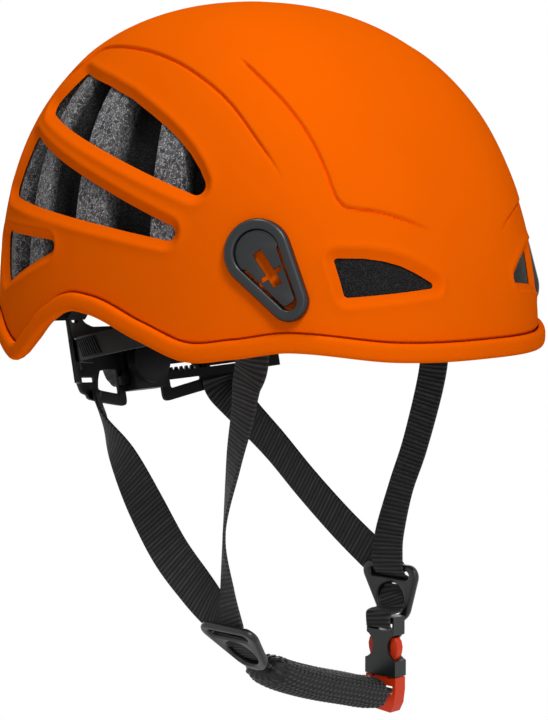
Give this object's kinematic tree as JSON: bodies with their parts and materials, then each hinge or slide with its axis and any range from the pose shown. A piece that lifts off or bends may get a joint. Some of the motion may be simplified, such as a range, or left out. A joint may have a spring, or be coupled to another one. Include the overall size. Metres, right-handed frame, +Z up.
{
  "type": "climbing helmet",
  "caption": "Vented hard-shell climbing and tree-care helmet with ribbed foam liner, ratchet headband, side accessory clips and a chin strap with side-release buckle.",
  "frame": {"origin": "middle of the head opening, level with the rim at the front and sides", "axes": "+X the wearer's front, +Y the wearer's left, +Z up"},
  "size_m": [0.2893, 0.2264, 0.3567],
  "materials": {
    "shell_orange": "satin moulded plastic",
    "bead_foam": "expanded bead foam",
    "clip_black": "fine moulded grain",
    "suspension_black": "moulded",
    "pinion_grey": "moulded",
    "screw_steel": "zinc plated",
    "webbing_black": "ribbed woven tape",
    "buckle_red": "moulded",
    "sleeve_knit": "knitted sleeve"
  },
  "bodies": {
    "helmet": {"outer_shell": "shell_orange", "rim_band": "shell_orange", "foam_liner": "bead_foam", "clip_frame_right": "clip_black", "clip_frame_left": "clip_black", "suspension_plugs": "suspension_black", "headband": "suspension_black", "rear_cradle": "suspension_black", "ratchet_base": "suspension_black", "ratchet_cover": "suspension_black", "strap_anchors": "suspension_black", "front_strap_right": "webbing_black", "front_strap_left": "webbing_black", "rear_strap_right": "webbing_black", "rear_strap_left": "webbing_black", "slider_right": "clip_black", "slider_left": "clip_black", "buckle_web": "webbing_black", "buckle_socket": "clip_black", "chin_strap": "webbing_black", "chin_pad": "sleeve_knit"},
    "knob": {"adjuster_knob": "suspension_black", "drive_pinion": "pinion_grey", "knob_screw": "screw_steel"},
    "rack_left": {"rack_left": "suspension_black"},
    "rack_right": {"rack_right": "suspension_black"},
    "tongue": {"buckle_tongue": "buckle_red"},
    "prong_front": {"prong_front": "buckle_red"},
    "prong_rear": {"prong_rear": "buckle_red"},
    "clip_tongue_right": {"clip_tongue_right": "clip_black"},
    "clip_tongue_left": {"clip_tongue_left": "clip_black"}
  },
  "joints": [
    {"name": "knob_turn", "type": "hinge", "parent": "helmet", "child": "knob", "pos_m": [-0.08, 0, -0.021], "axis": [-0.9781, 0, -0.2079], "range_deg": [-43, 192]},
    {"name": "rack_left_travel", "type": "hinge", "parent": "helmet", "child": "rack_left", "pos_m": [0.0227, 0, 0.00083], "axis": [-0.2079, 0, 0.9781], "range_deg": [-2.6, 11.2]},
    {"name": "rack_right_travel", "type": "hinge", "parent": "helmet", "child": "rack_right", "pos_m": [0.0227, 0, 0.00083], "axis": [0.2079, 0, -0.9781], "range_deg": [-2.6, 11.2]},
    {"name": "buckle_release", "type": "slide", "parent": "helmet", "child": "tongue", "axis": [0, 0, -1], "range_m": [0, 0.026], "deforming": ["prong_front", "prong_rear"]},
    {"name": "prong_front_press", "type": "hinge", "parent": "tongue", "child": "prong_front", "pos_m": [0.0517, 0.05, -0.1762], "axis": [0, -1, 0], "range_deg": [0, 7], "stiffness_Nm_per_rad": 0.4},
    {"name": "prong_rear_press", "type": "hinge", "parent": "tongue", "child": "prong_rear", "pos_m": [0.0413, 0.05, -0.1762], "axis": [0, 1, 0], "range_deg": [0, 7], "stiffness_Nm_per_rad": 0.4},
    {"name": "clip_right_press", "type": "hinge", "parent": "helmet", "child": "clip_tongue_right", "pos_m": [0.08854, -0.09342, 0.05079], "axis": [0.6934, 0.4381, 0.5721], "range_deg": [0, 2], "stiffness_Nm_per_rad": 0.8},
    {"name": "clip_left_press", "type": "hinge", "parent": "helmet", "child": "clip_tongue_left", "pos_m": [0.08854, 0.09342, 0.05079], "axis": [-0.6934, 0.4381, -0.5721], "range_deg": [0, 2], "stiffness_Nm_per_rad": 0.8}
  ],
  "couplings": [
    {"joint": "rack_left_travel", "follows": "knob_turn", "ratio": 0.057143},
    {"joint": "rack_right_travel", "follows": "knob_turn", "ratio": 0.057143}
  ]
}
